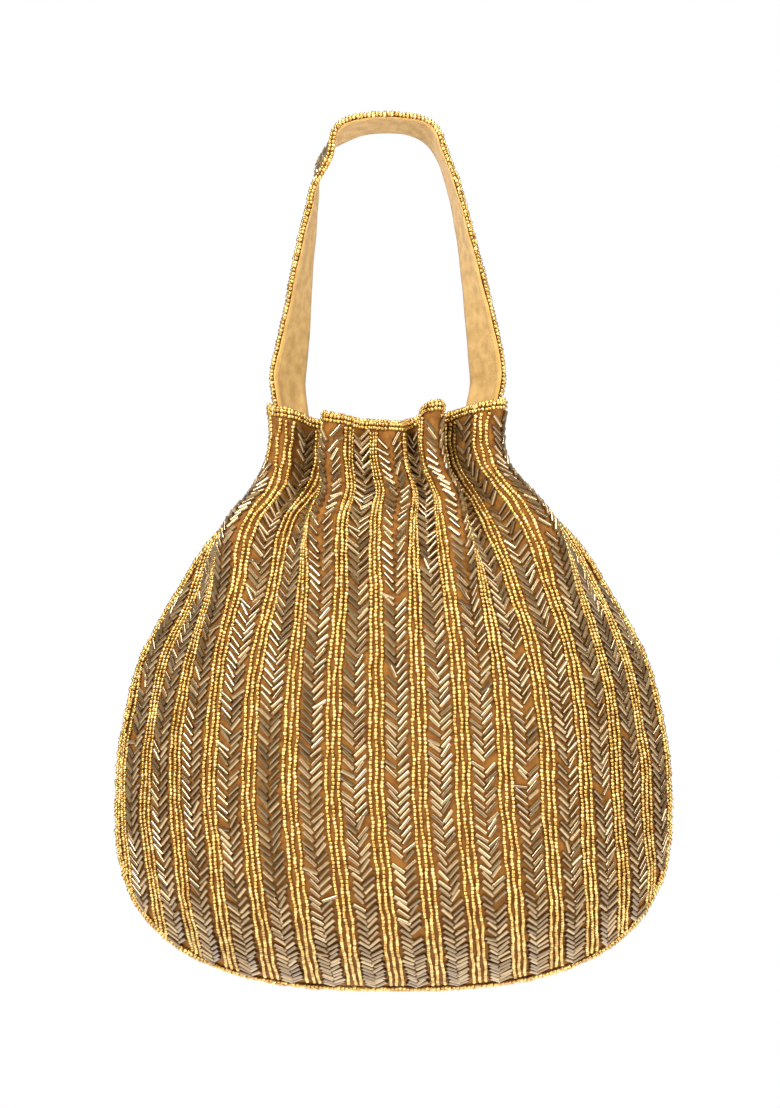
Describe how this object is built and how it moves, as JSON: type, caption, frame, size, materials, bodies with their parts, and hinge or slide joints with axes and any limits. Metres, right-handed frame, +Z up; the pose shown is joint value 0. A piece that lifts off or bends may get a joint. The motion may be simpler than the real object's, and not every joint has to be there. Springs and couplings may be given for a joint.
{
  "type": "potli bag",
  "caption": "Gold beaded potli handbag: a round gathered pouch with chevron embroidery and a short strap handle.",
  "frame": {"origin": "where the handle hangs: under the middle of the strap's top, midway between its edges", "axes": "+Z up along the hanging bag, the bag's front faces -Y"},
  "size_m": [0.2616, 0.1148, 0.407],
  "materials": {
    "beaded_cloth": "ground cloth under beads",
    "lining_cloth": "satin",
    "gold_seed_beads": "metallic gold",
    "bronze_bugle_beads": "bronze lustre",
    "elastic": "matt"
  },
  "bodies": {
    "root": {"front_panel": "beaded_cloth", "back_panel": "beaded_cloth", "front_lining": "lining_cloth", "back_lining": "lining_cloth", "neck_elastic": "elastic", "handle_face": "beaded_cloth", "handle_lining": "lining_cloth", "handle_front_outer_bead_row": "gold_seed_beads", "handle_front_inner_bead_row": "gold_seed_beads", "handle_back_outer_bead_row": "gold_seed_beads", "handle_back_inner_bead_row": "gold_seed_beads", "mouth_upper_bead_row": "gold_seed_beads", "mouth_lower_bead_row": "gold_seed_beads", "seam_front_bead_row": "gold_seed_beads", "seam_back_bead_row": "gold_seed_beads", "seam_edge_bead_row": "gold_seed_beads"}
  },
  "joints": []
}
